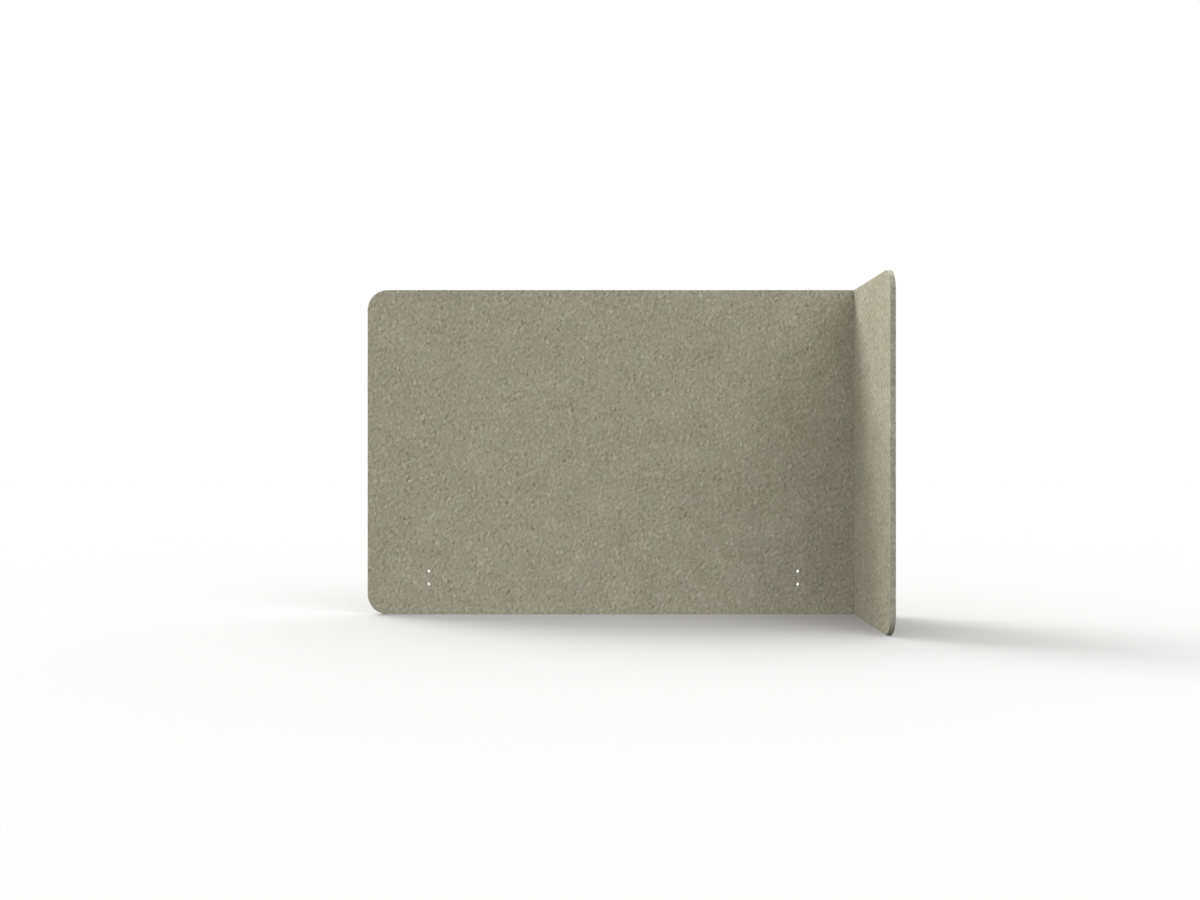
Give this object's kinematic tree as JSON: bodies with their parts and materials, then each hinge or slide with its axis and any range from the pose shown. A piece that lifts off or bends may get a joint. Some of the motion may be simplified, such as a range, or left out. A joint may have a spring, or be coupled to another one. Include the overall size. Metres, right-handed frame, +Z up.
{
  "type": "acoustic divider screen",
  "caption": "L-shaped acoustic screen: a rigid felt board folded along a grooved hinge into a long leaf and a short side wing, with rounded free ends and clamp holes near the bottom edge.",
  "frame": {"origin": "on the floor, under the middle of the screen's box, with the wing folded to a right angle as in the picture", "axes": "+X along the main leaf from its free end to the fold, +Y through the main leaf from its inner face to its back, so the wing comes forward towards -Y; +Z up"},
  "size_m": [1.212, 0.412, 0.8],
  "materials": {
    "face_felt": "matte",
    "felt_core": "matte"
  },
  "bodies": {
    "main_leaf": {"main_front_felt": "face_felt", "main_core": "felt_core", "main_back_felt": "face_felt", "fold_hinge": "face_felt"},
    "wing": {"wing_inner_felt": "face_felt", "wing_core": "felt_core", "wing_outer_felt": "face_felt"}
  },
  "joints": [
    {"name": "wing_fold", "type": "hinge", "parent": "main_leaf", "child": "wing", "pos_m": [0.60479, 0.20479, 0], "axis": [0, 0, 1], "range_deg": [0, 90], "deforming": ["fold_hinge"]}
  ]
}
